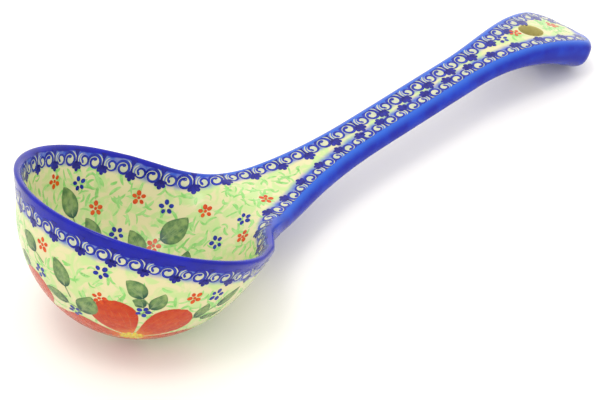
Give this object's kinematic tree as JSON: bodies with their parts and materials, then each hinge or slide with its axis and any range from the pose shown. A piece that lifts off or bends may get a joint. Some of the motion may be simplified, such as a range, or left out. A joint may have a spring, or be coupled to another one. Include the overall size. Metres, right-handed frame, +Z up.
{
  "type": "soup ladle",
  "caption": "Glazed stoneware soup ladle: a deep round bowl, and a bar handle that flares and curls down to a pierced end.",
  "frame": {"origin": "the foot of the bowl, where its underside stands on the table", "axes": "+X from the bowl towards the handle's tip, +Y to the left of the handle, +Z up"},
  "size_m": [0.2951, 0.0998, 0.0717],
  "materials": {
    "bowl_glaze": "gloss glaze over ivory ground with cobalt, green and red painting",
    "handle_glaze": "gloss cobalt glaze with a painted ivory top face"
  },
  "bodies": {
    "root": {"bowl": "bowl_glaze", "handle": "handle_glaze"}
  },
  "joints": []
}
